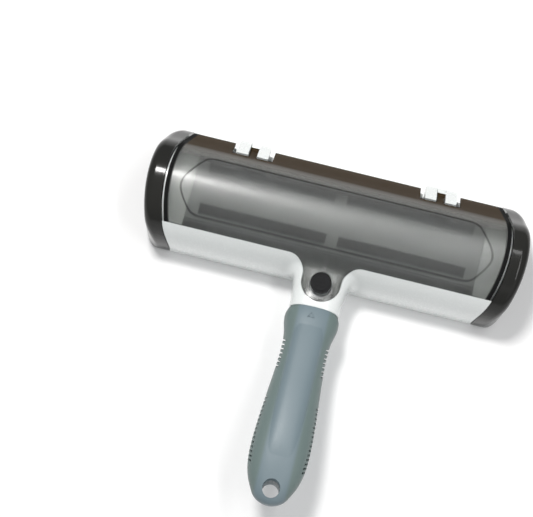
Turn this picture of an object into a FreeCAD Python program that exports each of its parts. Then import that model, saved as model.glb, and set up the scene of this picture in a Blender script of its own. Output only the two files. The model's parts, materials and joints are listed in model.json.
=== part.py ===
import FreeCAD, Part
import functools
import math
import os

# Pet hair removal brush, in millimetres.
# X runs along the head, the handle points to -Y, the cover hinges at +Y, and Z is up.
# The origin is the middle of the head's base, on the plane that the base rim rests on.

# Head: a long dome with bowed ends
head_half_length = 96.4
head_end_bow = 80.0
head_corner = 14.5
head_plan_half_width = 32.6
head_end_round = 4.0
crown_height = 47.6
near_half_width = 31.2
far_half_width = 31.0
rim_half_width = 30.0

# Walls and clearances
cover_wall = 1.8
housing_wall = 2.2
shell_wall = 1.8
seat_gap = 0.3
running_gap = 0.08

# Seam between the middle of the head and the two end shells
seam_half_length = 87.6
seam_corner = 14.0
seam_near_half_width = 34.1
seam_far_reach = 40.0
cover_seam_gap = 1.2
bulkhead = 1.5
peg_radius = 2.0
peg_y = 13.0
peg_z = 10.0

# Parting line between the white flank and the cover, and the tongue over the neck
parting_y = -22.9
parting_gap = 0.35
tongue_half_width = 9.7
tongue_centre_y = -33.5
tongue_shoulder = 9.0
tongue_low_z = 29.0
neck_fillet = 5.0
cover_low_z = 16.0

# Embossed panel on the cover
panel_near_y = -17.8
panel_far_y = 12.4
panel_near_half_length = 71.0
panel_far_half_length = 69.0
panel_tip_half_length = 81.6
panel_tip_y = -4.0
panel_corner = 8.0
panel_groove = 0.35
panel_line = 0.5

# Hinge at the far side
hinge_x = 48.5
hinge_y = 27.2
hinge_z = 18.0
barrel_radius = 1.6
barrel_half_length = 6.2
claw_wall = 2.0
bracket_half_width = 8.0
window_half_width = 2.3
web_half_width = 2.0
notch_side_gap = 2.4
notch_radius = 17.3
hinge_relief = 4.4
leg_tip = (20.6, 31.9)
leg_thickness = 2.0
far_wall_y = 25.2
far_wall_height = 13.6
rim_height = 5.0

# End walls, decks and the floor of the hair chamber
end_wall = 2.0
deck_start = 74.0
deck_top = 36.0
deck_thickness = 1.6
floor_half_length = 73.6
floor_centre_y = -0.6
floor_half_width = 16.4
floor_crown = 35.6
floor_bow = 52.0
floor_thickness = 1.6
floor_lap = 2.5
floor_lap_thickness = 1.6
slot_offset = 11.0
slot_width = 5.6
slot_start = 3.0
slot_length = 65.0

# Rocking drum
drum_y = 2.5
drum_z = 20.6
drum_radius = 19.4
drum_wall = 1.8
drum_half_length = 77.0
drum_half_angle = 74.0
pile_height = 0.9
pile_seat = 0.6
pile_centre_angle = -13.0
pile_half_angle = 33.0
drum_end_thickness = 2.0
pin_radius = 2.0
pin_length = 10.0
boss_radius = 4.5
boss_length = 2.4

# Ledge beside the drum, with its cleaning strips and lip
ledge_z = 5.0
ledge_thickness = 1.6
ledge_edge_y = -12.6
ledge_half_length = 78.0
strip_width = 6.0
strip_half_gap = 3.0
strip_length = 70.0
strip_thickness = 1.4
strip_recess = 0.4
lip_thickness = 0.6
lip_height = 3.0

# Neck and handle
junction_y = -49.0
junction_z = 26.6
handle_start_slope = 15.0
handle_end_slope = 5.0
grip_length = 100.1
grip_start_half_width = 12.5
grip_start_half_height = 9.6
grip_wall = 2.6
grip_cavity_end = 80.0
grip_squareness = 2.35
tang_length = 62.0
tang_half_width = 7.0
tang_half_height = 5.5
tang_web = 2.4
hang_hole_radius = 4.15
hang_hole_from_tip = 7.2
hang_hole_rim = 0.8
rib_width = 1.1
rib_depth = 1.5
rib_pitch = 2.3
rib_slant = 25.0
rib_half_height = 5.5
rib_groups = ((0.17, 7), (0.475, 15))

# Latch slider in the neck
pad_centre_y = -34.1
pad_radius = 5.3
pad_top_z = 36.3
pad_thickness = 1.0
pad_ring_outer = 4.6
pad_ring_inner = 4.0
pad_relief = 0.4
dimple_circle = 2.4
dimple_radius = 0.7
dimple_count = 6
slider_travel = 1.5
slot_clearance = 0.35
pocket_half_width = 7.6
pocket_far_y = -26.5
pocket_near_y = -45.2
pocket_floor_z = 25.0
pocket_floor_thickness = 2.0
slider_base = 2.0
post_height = 1.9
stem_half_width = 3.0
stem_half_length = 2.4
hook_y = -41.2
hook_thickness = 1.6
catch_inner = 5.9
catch_width = 1.3
catch_thickness = 1.3
spring_radius = 1.6
spring_wire = 0.35
spring_turns = 3


def vec(x, y, z):
    return FreeCAD.Vector(x, y, z)


def box(x0, x1, y0, y1, z0, z1):
    return Part.makeBox(x1 - x0, y1 - y0, z1 - z0, vec(x0, y0, z0))


def rod_x(x0, x1, y, z, radius):
    return Part.makeCylinder(radius, x1 - x0, vec(x0, y, z), vec(1, 0, 0))


def rod_z(x, y, z0, z1, radius):
    return Part.makeCylinder(radius, z1 - z0, vec(x, y, z0), vec(0, 0, 1))


def prism_yz(points, x0, x1):
    """Straight-sided outline in Y and Z, extruded along X."""
    wire = Part.makePolygon([vec(x0, y, z) for y, z in points + points[:1]])
    return Part.Face(wire).extrude(vec(x1 - x0, 0, 0))


def prism_xy(edges, z0, z1):
    """Closed chain of edges at height 0, extruded from z0 to z1."""
    face = Part.Face(Part.Wire(edges))
    face.translate(vec(0, 0, z0))
    return face.extrude(vec(0, 0, z1 - z0))


def arc(a, b, c):
    return Part.Arc(a, b, c).toShape()


def mirrored(shape):
    return shape.mirror(vec(0, 0, 0), vec(1, 0, 0))


def both_ends(shape):
    return shape.fuse(mirrored(shape))


def polar(y, z, radius, degrees):
    """Point at an angle from +Y towards +Z."""
    return (y + radius * math.cos(math.radians(degrees)), z + radius * math.sin(math.radians(degrees)))


def dome_outline():
    """Section of the head: upright white flank, rounded crown, flatter slope to the hinge."""
    near, far, rim = near_half_width, far_half_width, rim_half_width
    top = crown_height
    return [
        (-rim, 0), (-near, 0.17 * top), (-near + 0.6, 0.42 * top), (-near + 3.2, 0.65 * top),
        (-near + 8.0, top - 8.3), (-near + 15.0, top - 2.9), (-near + 25.0, top - 0.1),
        (far - 23.5, top - 0.8), (far - 16.5, top - 4.9), (far - 10.5, top - 14.6),
        (far - 5.0, top - 24.6), (far - 1.0, top - 32.8), (far, top - 37.0), (rim + 0.6, 4.0), (rim, 0),
    ]


def dome_curve(inset):
    """Smooth curve through the section, moved inwards by the inset."""
    curve = Part.BSplineCurve()
    curve.interpolate([vec(0, y, z) for y, z in dome_outline()])
    if inset == 0:
        return curve
    first, last = curve.FirstParameter, curve.LastParameter
    steps = 36
    moved = []
    for step in range(steps + 1):
        at = first + (last - first) * step / steps
        point, along = curve.value(at), curve.tangent(at)[0]
        inward = vec(0, along.z, -along.y)
        moved.append(point + inward * inset)
    moved[0].z = 0
    moved[-1].z = 0
    inner = Part.BSplineCurve()
    inner.interpolate(moved)
    return inner


def plan_loop(half_length, bow, corner, half_width, z0, z1):
    """Plan outline with bowed ends and rounded corners, extruded upwards."""
    centre_x = half_length - bow
    corner_y = half_width - corner
    corner_x = centre_x + math.sqrt((bow - corner) ** 2 - corner_y ** 2)
    reach = bow / (bow - corner)
    touch = (centre_x + (corner_x - centre_x) * reach, corner_y * reach)
    middle = math.atan2(touch[1] - corner_y, touch[0] - corner_x) / 2 + math.pi / 4
    bend = (corner_x + corner * math.cos(middle), corner_y + corner * math.sin(middle))
    edges = []
    for side in (1, -1):
        edges.append(Part.makeLine(vec(-side * corner_x, -side * half_width, 0),
                                   vec(side * corner_x, -side * half_width, 0)))
        edges.append(arc(vec(side * corner_x, -side * half_width, 0),
                         vec(side * bend[0], -side * bend[1], 0),
                         vec(side * touch[0], -side * touch[1], 0)))
        edges.append(arc(vec(side * touch[0], -side * touch[1], 0), vec(side * half_length, 0, 0),
                         vec(side * touch[0], side * touch[1], 0)))
        edges.append(arc(vec(side * touch[0], side * touch[1], 0),
                         vec(side * bend[0], side * bend[1], 0),
                         vec(side * corner_x, side * half_width, 0)))
    return prism_xy(edges, z0, z1)


@functools.lru_cache
def head_solid(inset):
    """The head's dome as one block, each face moved inwards by the inset."""
    curve = dome_curve(inset)
    start, end = curve.StartPoint, curve.EndPoint
    wire = Part.Wire([curve.toShape(), Part.makeLine(end, start)])
    block = Part.Face(wire).extrude(vec(2 * head_half_length + 10, 0, 0))
    block.translate(vec(-head_half_length - 5, 0, 0))
    plan = plan_loop(head_half_length - inset, head_end_bow - inset, head_corner - inset,
                     head_plan_half_width - inset, -5, crown_height + 10)
    block = block.common(plan)
    rim = [edge for edge in block.Edges
           if edge.BoundBox.ZLength > 1 and edge.BoundBox.XMax * edge.BoundBox.XMin > 0
           and edge.BoundBox.YLength > 0.5 and abs(edge.CenterOfMass.x) > head_half_length / 2]
    return block.makeFillet(max(head_end_round - inset, 0.5), rim)


@functools.lru_cache
def neck_solid(inset):
    """Neck that flares out of the near flank and narrows to the junction with the grip."""
    top = junction_z + grip_start_half_height
    low = junction_z - grip_start_half_height
    half = grip_start_half_width
    stations = [
        (-17.0, half + 6.0, top + 1.2, 8.0), (-25.5, half + 4.6, top + 0.5, 8.3),
        (-29.0, half + 3.4, top + 0.1, 8.8), (-32.0, half + 2.2, top - 0.1, 9.6),
        (-36.0, half + 1.2, top - 0.3, 11.4), (-42.0, half + 0.5, top - 0.3, low - 2.4),
        (junction_y, half, top, low),
    ]
    wires = []
    for y, half_width, high, bottom in stations:
        slope = math.radians(handle_start_slope) if y == junction_y else 0
        up = vec(0, math.sin(slope), math.cos(slope))
        middle, half_height = (high + bottom) / 2, (high - bottom) / 2 - inset
        wires.append(rounded_section(vec(0, y, middle), up, half_width - inset, half_height, 2.9))
    return Part.makeLoft(wires, True, False)


def rounded_section(centre, up, half_width, half_height, power):
    """Closed squarish oval across X and the given upward direction."""
    count = 24
    points = []
    for step in range(count):
        turn = 2 * math.pi * (step + 0.5) / count
        c, s = math.cos(turn), math.sin(turn)
        x = half_width * math.copysign(abs(c) ** (2 / power), c)
        z = half_height * math.copysign(abs(s) ** (2 / power), s)
        points.append(centre + vec(x, 0, 0) + up * z)
    curve = Part.BSplineCurve()
    curve.interpolate(points, True)
    return Part.Wire(curve.toShape())


@functools.lru_cache
def body_solid(inset):
    """Head and neck as one block, with a soft blend where they meet."""
    head, neck = head_solid(inset), neck_solid(inset)
    body = head.fuse(neck)
    meeting = []
    for edge in body.Edges:
        middle = Part.Vertex(edge.valueAt((edge.FirstParameter + edge.LastParameter) / 2))
        if all(block.Shells[0].distToShape(middle)[0] < 0.001 for block in (head, neck)):
            meeting.append(edge)
    return body.makeFillet(neck_fillet + inset, meeting)


@functools.lru_cache
def seam_block(shift):
    """Everything between the two end seams, each seam moved outwards by the shift."""
    bow, corner = head_end_bow + shift, seam_corner + shift
    centre_x = seam_half_length + shift - bow
    near = seam_near_half_width + shift
    corner_y = near - corner
    corner_x = centre_x + math.sqrt((bow - corner) ** 2 - corner_y ** 2)
    reach = bow / (bow - corner)
    touch_x, touch_y = centre_x + (corner_x - centre_x) * reach, -corner_y * reach
    far_x = centre_x + math.sqrt(bow ** 2 - seam_far_reach ** 2)
    middle = math.atan2(-touch_y - corner_y, touch_x - corner_x) / 2 + math.pi / 4
    bend = (corner_x + corner * math.cos(middle), -corner_y - corner * math.sin(middle))
    tip = seam_half_length + shift
    edges = [
        Part.makeLine(vec(far_x, seam_far_reach, 0), vec(-far_x, seam_far_reach, 0)),
        arc(vec(-far_x, seam_far_reach, 0), vec(-tip, 0, 0), vec(-touch_x, touch_y, 0)),
        arc(vec(-touch_x, touch_y, 0), vec(-bend[0], bend[1], 0), vec(-corner_x, -near, 0)),
        Part.makeLine(vec(-corner_x, -near, 0), vec(corner_x, -near, 0)),
        arc(vec(corner_x, -near, 0), vec(bend[0], bend[1], 0), vec(touch_x, touch_y, 0)),
        arc(vec(touch_x, touch_y, 0), vec(tip, 0, 0), vec(far_x, seam_far_reach, 0)),
    ]
    block = prism_xy(edges, -5, crown_height + 10)
    return block.fuse(box(-half_neck(), half_neck(), junction_y - 20, parting_y, -5, crown_height + 10))


def half_neck():
    return 2 * grip_start_half_width + 15


def cover_plan(shift, z0, z1):
    """Plan of the cover with its tongue, the edge moved outwards by the shift."""
    half = tongue_half_width + shift
    round_ = tongue_shoulder - shift
    line = parting_y - shift
    edge = half + round_
    corner_y = line - round_
    slant = math.sqrt(0.5)
    wide = head_half_length + 5
    edges = [
        Part.makeLine(vec(wide, line, 0), vec(wide, seam_far_reach, 0)),
        Part.makeLine(vec(wide, seam_far_reach, 0), vec(-wide, seam_far_reach, 0)),
        Part.makeLine(vec(-wide, seam_far_reach, 0), vec(-wide, line, 0)),
        Part.makeLine(vec(-wide, line, 0), vec(-edge, line, 0)),
        arc(vec(-edge, line, 0), vec(-edge + round_ * slant, corner_y + round_ * slant, 0),
            vec(-half, corner_y, 0)),
        Part.makeLine(vec(-half, corner_y, 0), vec(-half, tongue_centre_y, 0)),
        arc(vec(-half, tongue_centre_y, 0), vec(0, tongue_centre_y - half, 0),
            vec(half, tongue_centre_y, 0)),
        Part.makeLine(vec(half, tongue_centre_y, 0), vec(half, corner_y, 0)),
        arc(vec(half, corner_y, 0), vec(edge - round_ * slant, corner_y + round_ * slant, 0),
            vec(edge, line, 0)),
        Part.makeLine(vec(edge, line, 0), vec(wide, line, 0)),
    ]
    return prism_xy(edges, z0, z1)


@functools.lru_cache
def shell(wall):
    """Thin skin of head and neck together."""
    return body_solid(0).cut(body_solid(wall))


def panel_ring():
    """Shallow line that outlines the panel on the cover."""
    def outline(shrink):
        near, far = panel_near_y + shrink, panel_far_y - shrink
        corners = [(panel_near_half_length - shrink, near), (panel_tip_half_length - shrink, panel_tip_y),
                   (panel_far_half_length - shrink, far), (-panel_far_half_length + shrink, far),
                   (-panel_tip_half_length + shrink, panel_tip_y), (-panel_near_half_length + shrink, near)]
        block = prism_xy([Part.makeLine(vec(x0, y0, 0), vec(x1, y1, 0)) for (x0, y0), (x1, y1)
                          in zip(corners, corners[1:] + corners[:1])], crown_height / 2, crown_height + 5)
        upright = [edge for edge in block.Edges if edge.BoundBox.ZLength > 1]
        return block.makeFillet(panel_corner - shrink, upright)

    depth = head_solid(0).cut(head_solid(panel_groove))
    return outline(0).cut(outline(panel_line)).common(depth)


def hinge_web(centre_x):
    """Barrel of one hinge with the web that joins it to the cover."""
    barrel = rod_x(centre_x - barrel_half_length, centre_x + barrel_half_length,
                   hinge_y, hinge_z, barrel_radius)
    root = head_solid(cover_wall / 2)
    far_top, near_top = hinge_y - 0.4 * notch_radius, hinge_y - 0.56 * notch_radius
    outline = [(hinge_y - 0.7 * barrel_radius, hinge_z - 0.3 * barrel_radius),
               (hinge_y, hinge_z + 0.8 * barrel_radius), (far_top, hinge_z + notch_radius),
               (near_top, hinge_z + notch_radius), (near_top, hinge_z + 0.84 * notch_radius)]
    web = prism_yz(outline, centre_x - web_half_width, centre_x + web_half_width).common(root)
    return barrel.fuse(web)


def cover():
    skin = shell(cover_wall).common(seam_block(-cover_seam_gap))
    dome = skin.common(cover_plan(0, cover_low_z, crown_height + 5))
    low_neck = box(-tongue_half_width - tongue_shoulder - 1, tongue_half_width + tongue_shoulder + 1,
                   junction_y, parting_y, cover_low_z - 1, tongue_low_z)
    part = dome.cut(low_neck).cut(panel_ring())
    for centre_x in (-hinge_x, hinge_x):
        half = bracket_half_width + notch_side_gap
        part = part.cut(rod_x(centre_x - half, centre_x + half, hinge_y, hinge_z, notch_radius))
        part = part.fuse(hinge_web(centre_x))
    part = part.cut(pad_slot(slot_clearance, tongue_low_z, crown_height))
    return part.fuse(catch())


def pad_slot(clearance, z0, z1):
    """Slot of the thumb pad and its travel."""
    radius = pad_radius + clearance
    end_y = pad_centre_y - slider_travel
    block = rod_z(0, pad_centre_y, z0, z1, radius).fuse(rod_z(0, end_y, z0, z1, radius))
    return block.fuse(box(-radius, radius, end_y, pad_centre_y, z0, z1))


def tongue_under():
    """Height of the tongue's underside at its tip."""
    return junction_z + grip_start_half_height - cover_wall - 0.4


def catch():
    """Two plates under the tongue, beside the pad's slot, that the slider's posts stand against."""
    far = hook_y + hook_thickness + seat_gap
    plate = box(catch_inner, catch_inner + catch_width, far, far + catch_thickness,
                catch_low(), tongue_under() + 1.0)
    return both_ends(plate)


def catch_low():
    return pocket_floor_z + pocket_floor_thickness + slider_base + 0.6


def end_shell(side):
    outside = head_solid(0).cut(seam_block(0))
    skin = outside.cut(head_solid(shell_wall))
    wall = outside.common(seam_block(bulkhead))
    part = skin.fuse(wall)
    pair = part.Solids
    chosen = [solid for solid in pair if solid.CenterOfMass.x * side > 0][0]
    for y in (-peg_y, peg_y):
        root = seam_x_at(y)
        low, high = root - seat_gap - end_wall, root + bulkhead / 2
        peg = rod_x(min(side * low, side * high), max(side * low, side * high), y, peg_z, peg_radius)
        chosen = chosen.fuse(peg)
    return chosen


def seam_x_at(y):
    """X of the seam's bowed end at a place across the head."""
    return seam_half_length - head_end_bow + math.sqrt(head_end_bow ** 2 - y ** 2)


def bracket(centre_x):
    """Hinge bracket: two legs over the barrel, a bar outside them and two arms to the far wall."""
    inner, outer = barrel_radius + running_gap * 2, barrel_radius + running_gap * 2 + claw_wall
    ring = rod_x(-bracket_half_width, bracket_half_width, hinge_y, hinge_z, outer)
    bore = rod_x(-bracket_half_width, bracket_half_width, hinge_y, hinge_z, inner)
    ring = ring.cut(bore)
    wide = 5 * outer
    wedge = prism_yz([(hinge_y, hinge_z), polar(hinge_y, hinge_z, wide, 158),
                      polar(hinge_y, hinge_z, wide, 215), polar(hinge_y, hinge_z, wide, 305)],
                     -bracket_half_width, bracket_half_width)
    ring = ring.cut(wedge)
    window = [(hinge_y, hinge_z)] + [polar(hinge_y, hinge_z, wide, angle) for angle in (4, 50, 100, 158)]
    window_side = prism_yz(window, -window_half_width, window_half_width)
    base = polar(hinge_y, hinge_z, outer - 0.2, 28)
    back = polar(hinge_y, hinge_z, inner + 0.4, 80)
    tip_y, tip_z = leg_tip
    tail = prism_yz([base, (tip_y + leg_thickness, tip_z + 0.6), (tip_y + 0.6, tip_z + 0.9),
                     (tip_y, tip_z - 0.4), polar(hinge_y, hinge_z, inner + 0.6, 125), back],
                    -bracket_half_width, bracket_half_width)
    hook = ring.fuse(tail).cut(bore).cut(window_side)
    arm_low = far_wall_height - 5.0
    arm = prism_yz([(far_wall_y + 1, arm_low), polar(hinge_y, hinge_z, outer - 0.2, 290),
                    polar(hinge_y, hinge_z, outer - 0.3, 10), (hinge_y, hinge_z),
                    (far_wall_y, far_wall_height)],
                   barrel_half_length + seat_gap, bracket_half_width)
    hook = hook.fuse(both_ends(arm))
    hook.translate(vec(centre_x, 0, 0))
    return hook


def end_frame():
    """Bowed end walls with the decks that carry the chamber floor."""
    clear = cover_wall + 0.8
    core = seam_block(-seat_gap)
    ring = core.cut(seam_block(-seat_gap - end_wall)).common(head_solid(clear))
    ring = ring.common(box(-head_half_length, head_half_length, parting_y - 0.5, far_wall_y + housing_wall,
                           0, crown_height))
    ring = ring.cut(rod_x(-head_half_length, head_half_length, hinge_y, hinge_z, hinge_relief))
    near = core.cut(seam_block(-seat_gap - end_wall)).common(head_solid(housing_wall / 2))
    near = near.common(box(-head_half_length, head_half_length, -near_half_width,
                           parting_y - parting_gap, 0, crown_height - 14))
    deck = box(deck_start, head_half_length, parting_y, far_half_width, deck_top - deck_thickness, deck_top)
    deck = deck.common(core).common(head_solid(clear))
    under = floor_bow - floor_thickness - 0.05
    lip = floor_tube(under, floor_lap_thickness, deck_start - floor_lap, deck_start + deck_thickness)
    web = floor_tube(floor_bow, floor_bow - under + floor_lap_thickness, deck_start,
                     deck_start + deck_thickness)
    boss = rod_x(seam_half_length - seat_gap - end_wall - boss_length, seam_half_length - seat_gap - 0.5,
                 drum_y, drum_z, boss_radius)
    ends = ring.fuse(near)
    for extra in (deck, lip, web, boss):
        ends = ends.fuse(both_ends(extra))
    pin_hole = rod_x(-head_half_length, head_half_length, drum_y, drum_z, pin_radius)
    pegs = [rod_x(-head_half_length, head_half_length, y, peg_z, peg_radius + running_gap)
            for y in (-peg_y, peg_y)]
    return ends.cut(pin_hole).cut(pegs[0]).cut(pegs[1])


def housing():
    upper = cover_plan(parting_gap, tongue_low_z, crown_height + 10)
    behind = box(-head_half_length, head_half_length, parting_y - parting_gap, far_half_width + 5,
                 -5, crown_height + 5)
    skin = shell(housing_wall).common(seam_block(-seat_gap)).cut(upper).cut(behind)
    far = box(-seam_half_length, seam_half_length, far_wall_y, far_wall_y + housing_wall, 0,
              far_wall_height)
    far = far.common(seam_block(-seat_gap))
    part = skin.fuse(far).fuse(end_frame())
    for centre_x in (-hinge_x, hinge_x):
        part = part.fuse(bracket(centre_x))
    part = part.fuse(neck_inside()).fuse(ledge_seats()).fuse(tang())
    foot = box(-head_half_length, head_half_length, -2 * near_half_width, 2 * far_half_width, -1, rim_height)
    return part.common(foot).removeSplitter().fuse(part.cut(foot))


def neck_inside():
    """Closing wall at the junction and the floor plate under the slider."""
    room = neck_solid(housing_wall / 2)
    close = box(-half_neck(), half_neck(), 0, housing_wall, -crown_height / 2, crown_height / 2)
    close.rotate(vec(0, 0, 0), vec(1, 0, 0), -handle_start_slope)
    close.translate(vec(0, junction_y, junction_z))
    plate = box(-half_neck(), half_neck(), junction_y + housing_wall, pocket_far_y, pocket_floor_z,
                pocket_floor_z + pocket_floor_thickness)
    sides = box(pocket_half_width, pocket_half_width + 1.5, junction_y + housing_wall, pocket_far_y,
                pocket_floor_z, tongue_low_z)
    rails = both_ends(sides)
    stop = box(-pocket_half_width, pocket_half_width, pocket_near_y - 1.5, pocket_near_y,
               pocket_floor_z, tongue_low_z + 1.0)
    return close.fuse(plate).fuse(rails).fuse(stop).common(room)


def ledge_seats():
    """Ribs on the near flank and the end walls that the ledge rests under."""
    low, high = ledge_z + ledge_thickness, ledge_z + ledge_thickness + 3
    rib = box(-1.2, 1.2, -near_half_width, ledge_edge_y - strip_width - 1 - seat_gap, low, high)
    ribs = rib.copy()
    for x in (-60, -30, 30, 60):
        other = rib.copy()
        other.translate(vec(x, 0, 0))
        ribs = ribs.fuse(other)
    return ribs.common(head_solid(housing_wall / 2))


def spine(distance):
    """Point and slope of the handle's centre line, at a distance from the junction."""
    steps = 40
    y, z = junction_y, junction_z
    for step in range(steps):
        slope = slope_at(distance * (step + 0.5) / steps)
        y -= distance / steps * math.cos(slope)
        z += distance / steps * math.sin(slope)
    return y, z, slope_at(distance)


def slope_at(distance):
    share = min(max(distance / grip_length, 0), 1)
    return math.radians(handle_start_slope + (handle_end_slope - handle_start_slope) * share)


def grip_sizes():
    """Distance along the grip as a share, half width, half height."""
    wide, high = grip_start_half_width, grip_start_half_height
    return [
        (0.0, wide, high), (0.035, wide + 1.1, high + 0.2), (0.07, wide + 0.9, high + 0.1),
        (0.13, wide - 0.4, high - 0.3), (0.20, wide - 0.9, high - 0.5), (0.32, wide - 0.5, high - 0.2),
        (0.44, wide + 0.45, high + 0.3), (0.57, wide + 1.5, high + 0.9), (0.69, wide + 2.1, high + 0.9),
        (0.81, wide + 1.6, high - 0.5), (0.877, wide, high - 1.8), (0.939, wide - 2.9, high - 3.2),
        (0.97, wide - 5.0, high - 4.4), (0.99, wide - 8.0, high - 5.9), (0.998, wide - 10.5, high - 7.4),
    ]


def grip_solid(inset, end):
    """Grip from the junction to a distance along it, each face moved inwards by the inset."""
    wires = []
    for share, half_width, half_height in grip_sizes():
        distance = share * grip_length
        if distance > end:
            continue
        y, z, slope = spine(distance)
        up = vec(0, math.sin(slope), math.cos(slope))
        wires.append(rounded_section(vec(0, y, z), up, half_width - inset, half_height - inset,
                                     grip_squareness))
    return Part.makeLoft(wires, True, False)


def grip():
    outer = grip_solid(0, grip_length)
    face = raised_face()
    inner = grip_solid(grip_wall, grip_cavity_end)
    part = outer.fuse(face).cut(inner)
    y, z, slope = spine(grip_length - hang_hole_from_tip)
    up = vec(0, math.sin(slope), math.cos(slope))
    reach = 2 * grip_start_half_height
    hole = Part.makeCylinder(hang_hole_radius, 2 * reach, vec(0, y, z) - up * reach, up)
    part = part.cut(hole)
    edge = value_at(grip_sizes(), 1 - hang_hole_from_tip / grip_length, 2) - hang_hole_rim
    for way in (up, -up):
        rim = Part.makeCone(hang_hole_radius, hang_hole_radius + 2 * hang_hole_rim, 5 * hang_hole_rim,
                            vec(0, y, z) + way * edge, way)
        part = part.cut(rim)
    return part.cut(Part.makeCompound(rib_grooves()))


def raised_face():
    """Smooth face that stands a little proud of the grip's top."""
    wires = []
    sides = [(0.10, 4.2, 0.2), (0.17, 3.4, 0.7), (0.30, 3.4, 0.9), (0.48, 4.2, 0.9), (0.62, 4.8, 0.7),
             (0.72, 4.8, 0.4), (0.80, 4.4, -0.2)]
    sizes = grip_sizes()
    for share, narrow, lift in sides:
        half_width = value_at(sizes, share, 1) - narrow
        half_height = value_at(sizes, share, 2)
        y, z, slope = spine(share * grip_length)
        up = vec(0, math.sin(slope), math.cos(slope))
        centre = vec(0, y, z) + up * (lift + half_height * 0.4)
        wires.append(rounded_section(centre, up, half_width, half_height * 0.6, 2.6))
    return Part.makeLoft(wires, True, False)


def value_at(table, share, column):
    """Value between two rows of the grip's sizes."""
    for before, after in zip(table, table[1:]):
        if before[0] <= share <= after[0]:
            part = (share - before[0]) / (after[0] - before[0])
            return before[column] + part * (after[column] - before[column])
    return table[-1][column]


def rib_grooves():
    """Short slanted grooves in two rows on each side of the grip."""
    grooves = []
    for start, count in rib_groups:
        for step in range(count):
            distance = start * grip_length + step * rib_pitch
            half_width = value_at(grip_sizes(), distance / grip_length, 1)
            y, z, slope = spine(distance)
            groove = box(half_width - rib_depth, half_width + 3, -rib_width / 2, rib_width / 2,
                         -rib_half_height, rib_half_height)
            groove.rotate(vec(0, 0, 0), vec(1, 0, 0), rib_slant - math.degrees(slope))
            groove.translate(vec(0, y, z))
            grooves += [groove, mirrored(groove)]
    return grooves


def tang():
    """Cross-shaped tang that the grip slides over."""
    slope = (handle_start_slope + math.degrees(slope_at(tang_length))) / 2
    root = housing_wall / 2
    flat = box(-tang_half_width, tang_half_width, -tang_length, root, -tang_web / 2, tang_web / 2)
    upright = box(-tang_web / 2, tang_web / 2, -tang_length, root, -tang_half_height, tang_half_height)
    part = flat.fuse(upright)
    part.rotate(vec(0, 0, 0), vec(1, 0, 0), -slope)
    part.translate(vec(0, junction_y, junction_z))
    return part


def floor_tube(radius, thickness, x0, x1):
    """Bowed plate across the head, on the centre of the floor's bow."""
    centre_z = floor_crown - floor_bow
    tube = rod_x(x0, x1, floor_centre_y, centre_z, radius)
    tube = tube.cut(rod_x(x0, x1, floor_centre_y, centre_z, radius - thickness))
    return tube.common(box(x0, x1, floor_centre_y - floor_half_width, floor_centre_y + floor_half_width,
                           0, crown_height))


def chamber_floor():
    """Bowed floor of the hair chamber, with two rows of two slots."""
    part = floor_tube(floor_bow, floor_thickness, -floor_half_length, floor_half_length)
    for y in (floor_centre_y - slot_offset, floor_centre_y + slot_offset):
        slot = box(slot_start, slot_start + slot_length, y - slot_width / 2, y + slot_width / 2,
                   0, crown_height)
        part = part.cut(both_ends(slot))
    return part


def drum_sector(radius, thickness, middle, half_angle, half_length):
    """Part of a tube round the drum's axis, opening upwards."""
    ring = rod_x(-half_length, half_length, drum_y, drum_z, radius)
    ring = ring.cut(rod_x(-half_length, half_length, drum_y, drum_z, radius - thickness))
    wide = 3 * radius
    spread = [middle - 90 + half_angle * share for share in (-1, -0.5, 0, 0.5, 1)]
    fan = [(drum_y, drum_z)] + [polar(drum_y, drum_z, wide, angle) for angle in spread]
    return ring.common(prism_yz(fan, -half_length, half_length))


def drum():
    trough = drum_sector(drum_radius, drum_wall, 0, drum_half_angle, drum_half_length)
    seat = drum_sector(drum_radius + 1, pile_seat + 1, pile_centre_angle, pile_half_angle,
                       drum_half_length)
    return trough.cut(seat)


def pile_strip():
    return drum_sector(drum_radius + pile_height - pile_seat, pile_height, pile_centre_angle,
                       pile_half_angle - 0.3, drum_half_length - 0.3)


def drum_end(side):
    """Arched end of the drum, with the bearing for its pivot pin."""
    inner = drum_half_length - drum_end_thickness
    plate = rod_x(inner, drum_half_length, drum_y, drum_z, drum_radius - drum_wall)
    below = prism_yz([(drum_y, drum_z + boss_radius)]
                     + [polar(drum_y, drum_z, 3 * drum_radius, angle) for angle in (-170, -130, -90, -50, -10)],
                     inner, drum_half_length)
    boss = rod_x(inner - boss_length, drum_half_length + boss_length / 2, drum_y, drum_z, boss_radius)
    part = plate.common(below).fuse(boss)
    part = part.cut(rod_x(inner - 10, drum_half_length + 10, drum_y, drum_z, pin_radius + running_gap))
    return part if side > 0 else mirrored(part)


def pivot_pin(side):
    outer = seam_half_length - seat_gap - 0.5
    part = rod_x(outer - pin_length, outer, drum_y, drum_z, pin_radius)
    return part if side > 0 else mirrored(part)


def comb_ledge():
    """Ledge beside the drum with two pockets in its underside."""
    near_wall = box(-ledge_half_length, ledge_half_length, -near_half_width, ledge_edge_y,
                    ledge_z, ledge_z + ledge_thickness)
    inside = head_solid(housing_wall).common(seam_block(-seat_gap - end_wall - 0.1))
    part = near_wall.common(inside)
    raised = box(-ledge_half_length, ledge_half_length, ledge_edge_y - strip_width - 1, ledge_edge_y,
                 ledge_z + ledge_thickness, ledge_z + ledge_thickness + strip_recess)
    part = part.fuse(raised)
    lip_seat = box(-strip_reach(), strip_reach(), ledge_edge_y - lip_thickness, ledge_edge_y,
                   ledge_z, ledge_z + lip_height - 1)
    return part.cut(both_ends(strip_block(0))).cut(lip_seat)


def strip_reach():
    return strip_half_gap + strip_length


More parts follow.
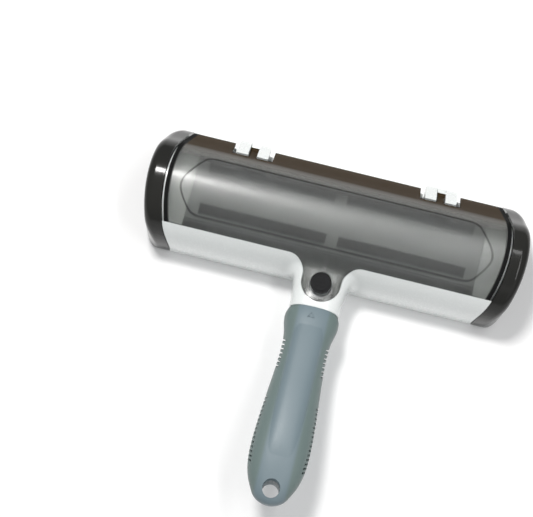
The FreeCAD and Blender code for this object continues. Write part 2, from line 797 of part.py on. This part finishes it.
def strip_block(shrink):
    """Room of one cleaning strip, or the strip itself when shrunk."""
    return box(strip_half_gap + shrink, strip_reach() - shrink,
               ledge_edge_y - strip_width - lip_thickness + shrink, ledge_edge_y - lip_thickness - shrink,
               ledge_z, ledge_z + strip_thickness)


def cleaning_strip(side):
    block = strip_block(0.1)
    block = block.cut(box(0, head_half_length, -near_half_width, 0, 0, ledge_z + strip_recess))
    return block if side > 0 else mirrored(block)


def scraper_lip():
    return box(-strip_reach(), strip_reach(), ledge_edge_y - lip_thickness, ledge_edge_y,
               ledge_z - 0.4, ledge_z + lip_height - 1)


def release_slider():
    """Slider in the neck: thumb disc on a stem, base plate and hook."""
    disc_low = tongue_under() + 0.6
    disc = rod_z(0, pad_centre_y, disc_low, pad_top_z - pad_thickness, pad_radius)
    low = pocket_floor_z + pocket_floor_thickness + running_gap
    stem = box(-stem_half_width, stem_half_width, pad_centre_y - stem_half_length,
               pad_centre_y + stem_half_length, low, disc_low)
    base = box(-pocket_half_width + running_gap * 2, pocket_half_width - running_gap * 2,
               hook_y, pad_centre_y + stem_half_length, low, low + slider_base)
    base = base.common(neck_solid(housing_wall + 0.2))
    top = low + slider_base + post_height
    posts = both_ends(box(catch_inner, catch_inner + catch_width, hook_y, hook_y + hook_thickness, low, top))
    middle = box(-stem_half_width, stem_half_width, hook_y, hook_y + hook_thickness, low,
                 low + slider_base + 1 + spring_radius)
    spring_pin = Part.makeCylinder(spring_radius - spring_wire * 1.6, 1.6,
                                   vec(0, hook_y, low + slider_base + 1), vec(0, -1, 0))
    return disc.fuse(stem).fuse(base).fuse(posts).fuse(middle).fuse(spring_pin)


def slider_pad():
    """Round thumb pad with a sunk ring and dimples."""
    pad = rod_z(0, pad_centre_y, pad_top_z - pad_thickness, pad_top_z, pad_radius)
    low = pad_top_z - pad_relief
    ring = rod_z(0, pad_centre_y, low, pad_top_z, pad_ring_outer)
    pad = pad.cut(ring.cut(rod_z(0, pad_centre_y, low, pad_top_z, pad_ring_inner)))
    places = [(0, pad_centre_y)]
    for step in range(dimple_count):
        angle = 2 * math.pi * step / dimple_count
        places.append((dimple_circle * math.cos(angle), pad_centre_y + dimple_circle * math.sin(angle)))
    for x, y in places:
        pad = pad.cut(rod_z(x, y, low, pad_top_z, dimple_radius))
    return pad


def latch_spring():
    """Coil between the slider's hook and the stop behind it."""
    start_y = hook_y - 0.02
    length = start_y - pocket_near_y - 0.04
    pitch = (length - 2 * spring_wire) / spring_turns
    helix = Part.makeHelix(pitch, length - 2 * spring_wire, spring_radius)
    profile = Part.Wire(Part.makeCircle(spring_wire, vec(spring_radius, 0, 0), vec(0, 1, 0)))
    coil = Part.Wire(helix).makePipeShell([profile], True, True)
    coil.rotate(vec(0, 0, 0), vec(1, 0, 0), 90)
    low = pocket_floor_z + pocket_floor_thickness + running_gap + slider_base + 1
    coil.translate(vec(0, start_y - spring_wire, low))
    return coil


def save(name, shape):
    solids = shape.Solids
    whole = solids[0] if len(solids) == 1 else Part.makeCompound(solids)
    whole.exportStep(os.path.join("parts", name + ".step"))


def main():
    os.makedirs("parts", exist_ok=True)
    save("housing", housing())
    save("cover", cover())
    save("grip", grip())
    save("chamber_floor", chamber_floor())
    save("comb_ledge", comb_ledge())
    save("scraper_lip", scraper_lip())
    save("drum", drum())
    save("pile_strip", pile_strip())
    save("release_slider", release_slider())
    save("slider_pad", slider_pad())
    save("latch_spring", latch_spring())
    for name, side in (("left", -1), ("right", 1)):
        save("end_shell_" + name, end_shell(side))
        save("cleaning_strip_" + name, cleaning_strip(side))
        save("drum_end_" + name, drum_end(side))
        save("pivot_pin_" + name, pivot_pin(side))


main()
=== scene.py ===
import json
import math
import random

import bpy
from mathutils import Matrix, Vector


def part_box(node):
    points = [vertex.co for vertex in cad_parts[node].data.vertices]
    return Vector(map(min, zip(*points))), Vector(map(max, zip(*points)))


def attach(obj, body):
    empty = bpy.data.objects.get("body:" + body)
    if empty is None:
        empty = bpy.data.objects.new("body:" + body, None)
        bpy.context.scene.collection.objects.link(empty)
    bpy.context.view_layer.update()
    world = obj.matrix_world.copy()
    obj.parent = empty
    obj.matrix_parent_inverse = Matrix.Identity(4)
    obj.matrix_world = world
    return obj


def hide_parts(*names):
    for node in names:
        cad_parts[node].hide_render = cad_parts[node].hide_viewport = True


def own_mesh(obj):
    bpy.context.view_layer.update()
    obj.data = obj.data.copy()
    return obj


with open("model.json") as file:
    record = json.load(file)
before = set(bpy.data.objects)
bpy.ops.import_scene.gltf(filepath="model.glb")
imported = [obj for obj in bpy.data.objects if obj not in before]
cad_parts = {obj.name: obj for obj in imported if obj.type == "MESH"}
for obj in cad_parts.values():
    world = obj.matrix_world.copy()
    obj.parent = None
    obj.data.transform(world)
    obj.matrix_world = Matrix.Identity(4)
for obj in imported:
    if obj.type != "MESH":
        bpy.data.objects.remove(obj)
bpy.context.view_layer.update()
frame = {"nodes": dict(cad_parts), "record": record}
scene = bpy.context.scene
random.seed(7)

# Places and sizes from the part, in metres and degrees
DRUM_Y, DRUM_Z = 0.0025, 0.0206
JUNCTION = Vector((0.0, -0.0490, 0.0266))
GRIP_LENGTH = 0.1001
GRIP_START_SLOPE, GRIP_END_SLOPE = 15.0, 5.0
SEAM_CENTRE_X = 0.0076

# Bands on the head and grip across which one colour runs into the next, in metres: painted shade on the
# far flank, beside the end seams and along the panel outline, and the grip's own two tones
FAR_FLANK_SHADE_Y = (0.011, 0.019)
SEAM_SHADE_RADIUS = (0.0762, 0.0768)
GRIP_SIDE_X = (0.0070, 0.0086)
PANEL_SHADE_LINE_CENTRE = -0.00025
PANEL_SHADE_LINE_WIDTH = (0.0003, 0.0006)

# Straight edges of the embossed panel at X above 0: unit normal in X and Y, and minus its distance
PANEL_FAR_EDGE = (0.0, 1.0, -0.0124)
PANEL_FAR_SLANT = (0.793, 0.609, -0.06227)
PANEL_NEAR_EDGE = (0.0, -1.0, -0.0178)
PANEL_NEAR_SLANT = (0.793, -0.609, -0.06714)
PANEL_CORNER, PANEL_TIP_CORNER = 0.005, 0.012

# Part of a noise texture's values that is spread over a whole range
NOISE_SPAN = (0.3, 0.7)
ZERO_TO_ONE = (0.0, 1.0)


def node_tree(name):
    mat = bpy.data.materials.new(name)
    mat.use_nodes = True
    tree = mat.node_tree
    shader = tree.nodes["Principled BSDF"]
    return mat, tree, shader


def link(tree, a, b):
    tree.links.new(a, b)


def feed(tree, socket, given):
    """Sets a socket to a number or a colour, or links another node's output to it."""
    if isinstance(given, (int, float)):
        socket.default_value = given
    elif isinstance(given, tuple):
        socket.default_value = (*given, 1.0)
    else:
        link(tree, given, socket)


def calculate(tree, operation, *values):
    node = tree.nodes.new("ShaderNodeMath")
    node.operation = operation
    for socket, given in zip(node.inputs, values):
        feed(tree, socket, given)
    return node.outputs[0]


def object_coords(tree, scale=(1.0, 1.0, 1.0)):
    coords = tree.nodes.new("ShaderNodeTexCoord")
    mapping = tree.nodes.new("ShaderNodeMapping")
    mapping.inputs["Scale"].default_value = scale
    link(tree, coords.outputs["Object"], mapping.inputs["Vector"])
    return mapping.outputs["Vector"]


def split_place(tree):
    """X, Y and Z of the point that is shaded, in the part's own frame."""
    coords = tree.nodes.new("ShaderNodeTexCoord")
    split = tree.nodes.new("ShaderNodeSeparateXYZ")
    link(tree, coords.outputs["Object"], split.inputs["Vector"])
    return split.outputs


def noise(tree, vector, scale, detail=3.0):
    tex = tree.nodes.new("ShaderNodeTexNoise")
    tex.inputs["Scale"].default_value = scale
    tex.inputs["Detail"].default_value = detail
    tex.inputs["Roughness"].default_value = 0.55
    link(tree, vector, tex.inputs["Vector"])
    return tex.outputs["Fac"]


def ramp(tree, value, low, high, span=NOISE_SPAN):
    """Colour that runs from low to high while the value crosses the span."""
    node = tree.nodes.new("ShaderNodeValToRGB")
    for element, place, colour in zip(node.color_ramp.elements, span, (low, high)):
        element.position = place
        element.color = (*colour, 1.0)
    link(tree, value, node.inputs["Fac"])
    return node.outputs["Color"]


def value_range(tree, value, source, target):
    """Value mapped from the source range to the target range, and held at its ends."""
    node = tree.nodes.new("ShaderNodeMapRange")
    node.inputs["From Min"].default_value, node.inputs["From Max"].default_value = source
    node.inputs["To Min"].default_value, node.inputs["To Max"].default_value = target
    link(tree, value, node.inputs["Value"])
    return node.outputs["Result"]


def mix_colour(tree, factor, a, b):
    node = tree.nodes.new("ShaderNodeMix")
    node.data_type = "RGBA"
    factor_socket, a_socket, b_socket = node.inputs[0], node.inputs[6], node.inputs[7]
    feed(tree, factor_socket, factor)
    feed(tree, a_socket, a)
    feed(tree, b_socket, b)
    return node.outputs[2]


def bump(tree, shader, height, strength, distance):
    node = tree.nodes.new("ShaderNodeBump")
    node.inputs["Strength"].default_value = strength
    node.inputs["Distance"].default_value = distance
    link(tree, height, node.inputs["Height"])
    link(tree, node.outputs["Normal"], shader.inputs["Normal"])


def plan_place(tree, x, y, z):
    node = tree.nodes.new("ShaderNodeCombineXYZ")
    for socket, given in zip(node.inputs, (x, y, z)):
        feed(tree, socket, given)
    return node.outputs[0]


def seam_reach(tree):
    """Distance from the centre of the round end seam, which is the same all along the seam."""
    place = split_place(tree)
    inward = calculate(tree, "SUBTRACT", calculate(tree, "ABSOLUTE", place["X"]), SEAM_CENTRE_X)
    length = tree.nodes.new("ShaderNodeVectorMath")
    length.operation = "LENGTH"
    link(tree, plan_place(tree, inward, place["Y"], 0.0), length.inputs[0])
    return length.outputs["Value"]


def panel_reach(tree):
    """Distance outside the embossed panel's plan outline, below zero inside it."""
    place = split_place(tree)
    spot = plan_place(tree, calculate(tree, "ABSOLUTE", place["X"]), place["Y"], 1.0)

    def beyond(edge):
        dot = tree.nodes.new("ShaderNodeVectorMath")
        dot.operation = "DOT_PRODUCT"
        link(tree, spot, dot.inputs[0])
        dot.inputs[1].default_value = edge
        return dot.outputs["Value"]

    far = calculate(tree, "SMOOTH_MAX", beyond(PANEL_FAR_EDGE), beyond(PANEL_FAR_SLANT), PANEL_CORNER)
    near = calculate(tree, "SMOOTH_MAX", beyond(PANEL_NEAR_EDGE), beyond(PANEL_NEAR_SLANT), PANEL_CORNER)
    return calculate(tree, "SMOOTH_MAX", far, near, PANEL_TIP_CORNER)


def plastic(name, low, high, roughness, coat=0.0):
    """Moulded plastic: slight flow variation in colour and gloss, and a fine surface grain."""
    mat, tree, shader = node_tree(name)
    vector = object_coords(tree)
    flow = noise(tree, vector, 14.0)
    link(tree, ramp(tree, flow, low, high), shader.inputs["Base Color"])
    fine = noise(tree, vector, 2200.0, 2.0)
    gloss_spread = 0.03
    link(tree, value_range(tree, fine, NOISE_SPAN, (roughness - gloss_spread, roughness + gloss_spread)),
         shader.inputs["Roughness"])
    shader.inputs["Coat Weight"].default_value = coat
    shader.inputs["Coat Roughness"].default_value = 0.08
    bump(tree, shader, fine, 0.12, 0.00001)
    return mat


def smoke_plastic():
    """Smoke translucent plastic: grey on top, with painted shade as a brownish darkening on the far
    flank, a painted shadow line along the panel outline and painted shade beside the end seams.
    """
    mat, tree, shader = node_tree("smoke_plastic")
    # Grey is the plastic's own tone; the brownish and near-black colours are painted shade.
    grey, flank_shade_brown, painted_shade_colour = (0.45, 0.46, 0.445), (0.060, 0.042, 0.025), (0.012, 0.012, 0.012)
    # Painted shade: the far flank's colour runs to a darker brownish tone.
    far = value_range(tree, split_place(tree)["Y"], FAR_FLANK_SHADE_Y, ZERO_TO_ONE)
    off_line = calculate(tree, "ABSOLUTE",
                         calculate(tree, "ADD", panel_reach(tree), -PANEL_SHADE_LINE_CENTRE))
    # Painted shadow: a near-black line along the embossed panel's outline, over the shallow moulded
    # step.
    groove_shade = value_range(tree, off_line, PANEL_SHADE_LINE_WIDTH, (0.75, 0.0))
    # Painted shade: a near-black band beside each round end seam, for the gap between cover and end
    # shell.
    seam = value_range(tree, seam_reach(tree), SEAM_SHADE_RADIUS, ZERO_TO_ONE)
    body = mix_colour(tree, groove_shade, mix_colour(tree, far, grey, flank_shade_brown), painted_shade_colour)
    link(tree, mix_colour(tree, seam, body, painted_shade_colour), shader.inputs["Base Color"])
    frost = noise(tree, object_coords(tree), 1400.0, 2.0)
    link(tree, value_range(tree, frost, NOISE_SPAN, (0.20, 0.24)), shader.inputs["Roughness"])

    # Where the painted shade lies, on the far flank and beside the seams, the shell is also made less
    # see-through.
    flank_density = 0.8
    density = calculate(tree, "MAXIMUM", seam,
                        value_range(tree, far, ZERO_TO_ONE, (0.0, flank_density)))
    coat_end = 0.75
    for name, full, target in (("Transmission Weight", 1.0, (0.92, 0.1)),
                               ("Specular IOR Level", coat_end, (0.5, 0.05)),
                               ("IOR", flank_density, (1.3, 1.06)),
                               ("Alpha", flank_density, (0.84, 1.0)),
                               ("Coat Weight", coat_end, (0.6, 0.0))):
        link(tree, value_range(tree, density, (0.0, full), target), shader.inputs[name])
    shader.inputs["Coat Roughness"].default_value = 0.40
    shader.inputs["Coat IOR"].default_value = 1.6
    return mat


def dark_smoke_plastic():
    """Nearly black glossy plastic of the end shells."""
    mat, tree, shader = node_tree("dark_smoke_plastic")
    vector = object_coords(tree)
    flow = noise(tree, vector, 20.0)
    link(tree, ramp(tree, flow, (0.016, 0.016, 0.015), (0.024, 0.024, 0.022)),
         shader.inputs["Base Color"])
    shader.inputs["Specular IOR Level"].default_value = 0.35
    shader.inputs["IOR"].default_value = 1.25
    fine = noise(tree, vector, 1200.0, 2.0)
    link(tree, value_range(tree, fine, NOISE_SPAN, (0.10, 0.18)), shader.inputs["Roughness"])
    shader.inputs["Coat Weight"].default_value = 0.16
    shader.inputs["Coat Roughness"].default_value = 0.05
    bump(tree, shader, fine, 0.1, 0.00001)
    return mat


def grip_plastic():
    """Satin blue-grey plastic, greener on the ribbed sides, with a fine spark texture."""
    mat, tree, shader = node_tree("grip_plastic")
    reach = calculate(tree, "ABSOLUTE", split_place(tree)["X"])
    side = value_range(tree, reach, GRIP_SIDE_X, ZERO_TO_ONE)
    vector = object_coords(tree)
    flow = noise(tree, vector, 18.0)
    centre = ramp(tree, flow, (0.150, 0.200, 0.224), (0.165, 0.216, 0.240))
    edge = ramp(tree, flow, (0.132, 0.178, 0.172), (0.146, 0.193, 0.186))
    link(tree, mix_colour(tree, side, centre, edge), shader.inputs["Base Color"])
    fine = noise(tree, vector, 1600.0, 2.0)
    link(tree, value_range(tree, fine, NOISE_SPAN, (0.40, 0.52)), shader.inputs["Roughness"])
    bump(tree, shader, fine, 0.35, 0.00003)
    return mat


def steel():
    """Drawn steel with streaks along X."""
    mat, tree, shader = node_tree("steel")
    streak = noise(tree, object_coords(tree, (60.0, 2600.0, 2600.0)), 1.0)
    link(tree, ramp(tree, streak, (0.55, 0.55, 0.56), (0.68, 0.68, 0.69)),
         shader.inputs["Base Color"])
    shader.inputs["Metallic"].default_value = 1.0
    link(tree, value_range(tree, streak, NOISE_SPAN, (0.22, 0.34)), shader.inputs["Roughness"])
    return mat


def rubber(name, low, high, shine=0.5):
    """Matt rubber with a fine grain."""
    mat, tree, shader = node_tree(name)
    fine = noise(tree, object_coords(tree), 1800.0)
    link(tree, ramp(tree, fine, low, high), shader.inputs["Base Color"])
    link(tree, value_range(tree, fine, NOISE_SPAN, (0.5, 0.7)), shader.inputs["Roughness"])
    shader.inputs["Specular IOR Level"].default_value = shine
    bump(tree, shader, fine, 0.4, 0.00004)
    return mat


def pile_material(name, low, high, stretch):
    """Short directional pile: fine cells that catch the light through their bump, with painted shade
    towards each cell's edge, and broad brushed patches.
    """
    mat, tree, shader = node_tree(name)
    vector = object_coords(tree, (1.0, stretch, stretch))
    cells = tree.nodes.new("ShaderNodeTexVoronoi")
    cells.inputs["Scale"].default_value = 1500.0
    link(tree, vector, cells.inputs["Vector"])
    base = ramp(tree, noise(tree, vector, 60.0, 4.0), low, high, (0.35, 0.65))
    # Painted shade between the tufts: a darkened pile colour mixed in towards each cell's edge.
    painted_shade_colour = tuple(c * 0.45 for c in low)
    shade = value_range(tree, cells.outputs["Distance"], (0.0, 0.7), (0.0, 0.8))
    link(tree, mix_colour(tree, shade, base, painted_shade_colour), shader.inputs["Base Color"])
    shader.inputs["Roughness"].default_value = 0.9
    shader.inputs["Sheen Weight"].default_value = 0.4
    shader.inputs["Sheen Roughness"].default_value = 0.4
    bump(tree, shader, cells.outputs["Distance"], 0.8, 0.00018)
    return mat


materials = {
    "white_plastic": plastic("white_plastic", (0.735, 0.765, 0.755), (0.765, 0.79, 0.78), 0.26,
                             coat=0.35),
    "smoke_plastic": smoke_plastic(),
    "dark_smoke_plastic": dark_smoke_plastic(),
    "grip_plastic": grip_plastic(),
    "light_grey_plastic": plastic("light_grey_plastic", (0.42, 0.44, 0.445), (0.47, 0.485, 0.49),
                                  0.38),
    "drum_plastic": plastic("drum_plastic", (0.50, 0.52, 0.55), (0.55, 0.565, 0.59), 0.30),
    "pile_fabric": pile_material("pile_fabric", (0.20, 0.225, 0.175), (0.27, 0.29, 0.235), 1.4),
    "dark_grey_fabric": pile_material("dark_grey_fabric", (0.060, 0.063, 0.058),
                                      (0.085, 0.088, 0.08), 1.0),
    "lip_rubber": rubber("lip_rubber", (0.52, 0.52, 0.50), (0.58, 0.58, 0.56)),
    "pad_rubber": rubber("pad_rubber", (0.004, 0.004, 0.005), (0.011, 0.011, 0.012), shine=0.15),
    "steel": steel(),
}

slots = {entry["node"]: entry["material_slot"] for entry in frame["record"]["subparts"]}
for node, obj in frame["nodes"].items():
    obj.data.materials.clear()
    obj.data.materials.append(materials[slots[node]])


def make_mesh(name, verts, faces, material, body, smooth=True):
    mesh = bpy.data.meshes.new(name)
    mesh.from_pydata([tuple(v) for v in verts], [], faces)
    mesh.update()
    obj = bpy.data.objects.new(name, mesh)
    scene.collection.objects.link(obj)
    for polygon in mesh.polygons:
        polygon.use_smooth = smooth
    obj.data.materials.append(materials[material])
    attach(obj, body)
    return obj


def camera():
    """Camera at the photograph's viewing angle."""
    azimuth, elevation, roll = math.radians(7.81), math.radians(79.30), math.radians(-6.07)
    target, distance = Vector((-0.02941, -0.02664, 0.025)), 1.0
    focal_px, width_px, sensor_width = 1994.8, 533, 36.0
    back = Vector((math.sin(azimuth) * math.cos(elevation),
                   -math.cos(azimuth) * math.cos(elevation), math.sin(elevation)))
    right = (-back).cross(Vector((0, 0, 1))).normalized()
    down = (-back).cross(right)
    x = right * math.cos(roll) + down * math.sin(roll)
    y = right * math.sin(roll) - down * math.cos(roll)
    data = bpy.data.cameras.new("camera")
    cam = bpy.data.objects.new("camera", data)
    scene.collection.objects.link(cam)
    data.sensor_width = sensor_width
    data.lens = focal_px / width_px * sensor_width
    data.clip_start, data.clip_end = 0.05, 20.0
    pose = Matrix((x, y, back)).transposed().to_4x4()
    pose.translation = target + back * distance
    cam.matrix_world = pose
    scene.camera = cam


def area_light(name, place, size, energy, colour=(1.0, 1.0, 1.0)):
    """Rectangular lamp that faces the middle of the brush."""
    middle = Vector((0.0, -0.04, 0.02))
    data = bpy.data.lights.new(name, "AREA")
    data.shape = "RECTANGLE"
    data.size, data.size_y = size
    data.energy = energy
    data.color = colour
    lamp = bpy.data.objects.new(name, data)
    scene.collection.objects.link(lamp)
    lamp.location = place
    lamp.rotation_mode = "QUATERNION"
    lamp.rotation_quaternion = (middle - Vector(place)).to_track_quat("-Z", "Y")


def studio():
    area_light("key", (-0.24, 0.22, 1.04), (0.18, 0.18), 9.0, (1.0, 0.99, 0.98))
    area_light("overhead", (0.34, 0.06, 1.08), (0.9, 0.12), 3.6)
    area_light("fill", (0.6, -0.8, 0.7), (0.9, 0.9), 0.9)
    world = bpy.data.worlds.new("world")
    scene.world = world
    world.use_nodes = True
    background = world.node_tree.nodes["Background"]
    background.inputs["Color"].default_value = (0.96, 0.98, 1.0, 1.0)
    background.inputs["Strength"].default_value = 0.26


def floor():
    """Plain white floor that keeps the object's shadow."""
    mesh = bpy.data.meshes.new("floor")
    half = 4.0
    mesh.from_pydata([(-half, -half, 0), (half, -half, 0), (half, half, 0), (-half, half, 0)], [],
                     [(0, 1, 2, 3)])
    obj = bpy.data.objects.new("floor", mesh)
    scene.collection.objects.link(obj)
    gap_below_rim = 0.0002
    obj.location.z = -gap_below_rim
    mat, tree, shader = node_tree("floor")
    tree.nodes.remove(shader)
    diffuse = tree.nodes.new("ShaderNodeBsdfDiffuse")
    diffuse.inputs["Color"].default_value = (0.95, 0.95, 0.95, 1.0)
    glow = tree.nodes.new("ShaderNodeEmission")
    rays = tree.nodes.new("ShaderNodeLightPath")
    glow_share = 0.15
    mix = tree.nodes.new("ShaderNodeMixShader")
    link(tree, calculate(tree, "MULTIPLY", rays.outputs["Is Camera Ray"], glow_share), mix.inputs[0])
    link(tree, diffuse.outputs[0], mix.inputs[1])
    link(tree, glow.outputs[0], mix.inputs[2])
    link(tree, mix.outputs[0], tree.nodes["Material Output"].inputs["Surface"])
    mesh.materials.append(mat)


def tuft_grid(columns, rows, place, relief):
    """Grid of points whose inner ones stand proud by random tufts, as verts and faces."""
    verts, faces = [], []
    low_tuft_share = 0.35
    for row in range(rows + 1):
        for column in range(columns + 1):
            border = row in (0, rows) or column in (0, columns)
            tuft = 0.0 if border else relief * random.random() ** 1.5
            if (row + column) % 2:
                tuft *= low_tuft_share
            verts.append(place(column / columns, row / rows, tuft))
    stride = columns + 1
    for row in range(rows):
        for column in range(columns):
            corner = row * stride + column
            faces.append((corner, corner + 1, corner + stride + 1, corner + stride))
    return verts, faces


def thicken(obj, thickness):
    solid = obj.modifiers.new("thickness", "SOLIDIFY")
    solid.thickness = thickness
    solid.offset = -1.0


def pile():
    """Short-pile strip wrapped round the bottom of the drum."""
    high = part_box("pile_strip")[1]
    middle, half_angle = math.radians(-103.0), math.radians(32.5)
    end_inset, outer, relief, thickness = 0.0003, 0.0196, 0.00045, 0.0004
    half_length = high.x - end_inset

    def place(across, along, tuft):
        angle = middle - half_angle + 2 * half_angle * along
        reach = outer - relief + tuft
        return (half_length * (2 * across - 1), DRUM_Y + reach * math.cos(angle),
                DRUM_Z + reach * math.sin(angle))

    obj = make_mesh("pile", *tuft_grid(440, 64, place, relief), "pile_fabric", "drum")
    thicken(obj, thickness)
    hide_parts("pile_strip")


def cleaning_fabric(side):
    """Woven strip in the ledge's underside."""
    node = "cleaning_strip_" + side
    low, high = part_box(node)
    relief, thickness = 0.00022, 0.0006
    length, width = high.x - low.x, high.y - low.y

    def place(across, along, tuft):
        return (low.x + length * across, high.y - width * along, low.z + relief - tuft)

    obj = make_mesh("cleaning_fabric_" + side, *tuft_grid(220, 22, place, relief),
                    "dark_grey_fabric", "base")
    thicken(obj, thickness)
    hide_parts(node)


def slope_at(distance):
    """Rise of the handle's centre line, as an angle, at a distance from the junction."""
    turn = GRIP_START_SLOPE - GRIP_END_SLOPE
    return math.radians(GRIP_START_SLOPE - turn * distance / GRIP_LENGTH)


def spine(distance):
    """Point of the handle's centre line, at a distance from the junction."""
    steps = 40
    place = JUNCTION.copy()
    for step in range(steps):
        slope = slope_at(distance * (step + 0.5) / steps)
        place += Vector((0.0, -math.cos(slope), math.sin(slope))) * (distance / steps)
    return place


def top_mark():
    """Small raised triangle outline on the grip's top, next to the neck."""
    from_neck, aside = 0.0049, 0.0009
    grip_top, sunk, proud = 0.0100, 0.0003, 0.00018
    outer, inner = 0.0021, 0.0014
    place, slope = spine(from_neck), slope_at(from_neck)
    up = Vector((0.0, math.sin(slope), math.cos(slope)))
    along = Vector((0.0, -math.cos(slope), math.sin(slope)))
    verts, faces = [], []
    for height in (grip_top - sunk, grip_top + proud):
        for reach in (outer, inner):
            for corner in range(3):
                angle = math.radians(90 + 120 * corner)
                spot = place + up * height + along * (-math.sin(angle) * reach)
                verts.append(spot + Vector((math.cos(angle) * reach - aside, 0.0, 0.0)))
    for corner in range(3):
        after = (corner + 1) % 3
        faces.append((6 + corner, 6 + after, 9 + after, 9 + corner))
        faces.append((3 + corner, 3 + after, after, corner))
        faces.append((corner, after, 6 + after, 6 + corner))
        faces.append((9 + corner, 9 + after, 3 + after, 3 + corner))
    obj = make_mesh("top_mark", verts, faces, "grip_plastic", "base", smooth=False)
    edge = obj.modifiers.new("edge", "BEVEL")
    edge.width = 0.0001
    edge.segments = 2


def squash_spring():
    """Gives the latch spring its own copy of its mesh. The coil, which shortens by the slider's travel
    towards the stop behind it, is left at its modelled length here.
    """
    coil = frame["nodes"]["latch_spring"]
    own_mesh(coil)


squash_spring()
pile()
for side in ("left", "right"):
    cleaning_fabric(side)
top_mark()
camera()
studio()
floor()
scene.view_settings.view_transform = "Standard"
